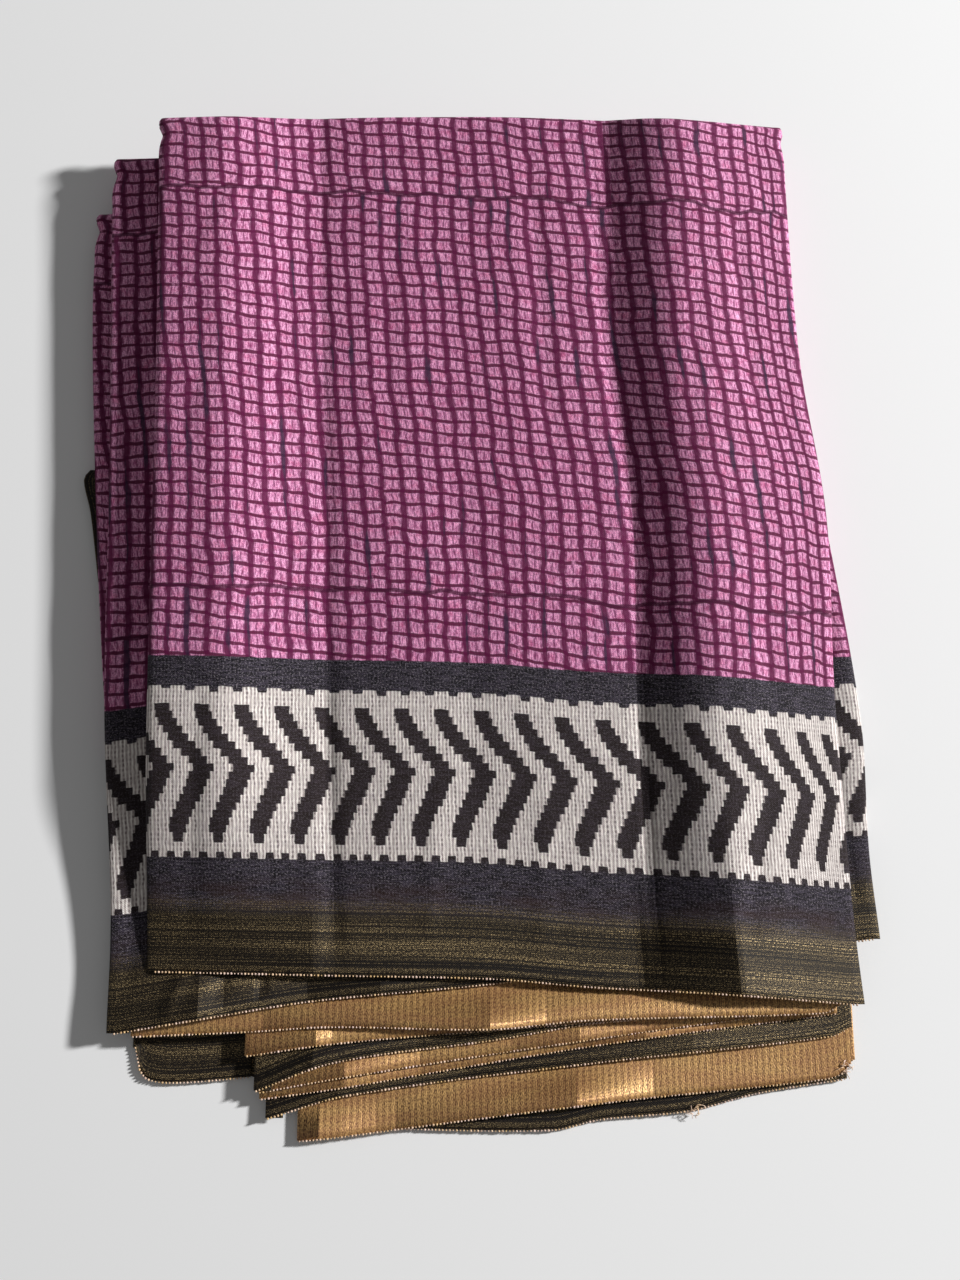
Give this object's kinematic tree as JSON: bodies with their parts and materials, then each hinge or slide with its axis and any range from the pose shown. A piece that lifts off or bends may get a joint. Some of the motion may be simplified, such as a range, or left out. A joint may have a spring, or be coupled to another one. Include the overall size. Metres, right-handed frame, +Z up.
{
  "type": "folded saree",
  "caption": "Saree folded into a flat rectangular packet, printed field on top, its border edges fanned out at the front and its leaves stepping out at the sides.",
  "frame": {"origin": "middle of the packet's bounding box, on the surface that it rests on", "axes": "+Z up out of the packet's printed face, -Y towards the border edges at the front, +X to the right when looking down with the border nearest"},
  "size_m": [0.507, 0.665, 0.0366],
  "materials": {
    "print": "matte woven cloth, pink with a plum grid",
    "border": "woven zari selvedge with a slight metallic sheen",
    "reverse": "reverse of the zari border, satin metallic thread",
    "layers": "matte folded cloth"
  },
  "bodies": {
    "root": {"hidden_layers": "layers", "bottom_leaf": "print", "third_leaf": "print", "second_leaf": "print", "top_leaf": "print", "inner_border_corner": "border", "third_leaf_corner": "border", "border_face_1": "border", "border_face_2": "border", "border_face_3": "border", "border_reverse_1": "reverse", "border_reverse_2": "reverse", "border_reverse_3": "reverse", "border_reverse_4": "reverse", "border_reverse_5": "reverse"}
  },
  "joints": []
}
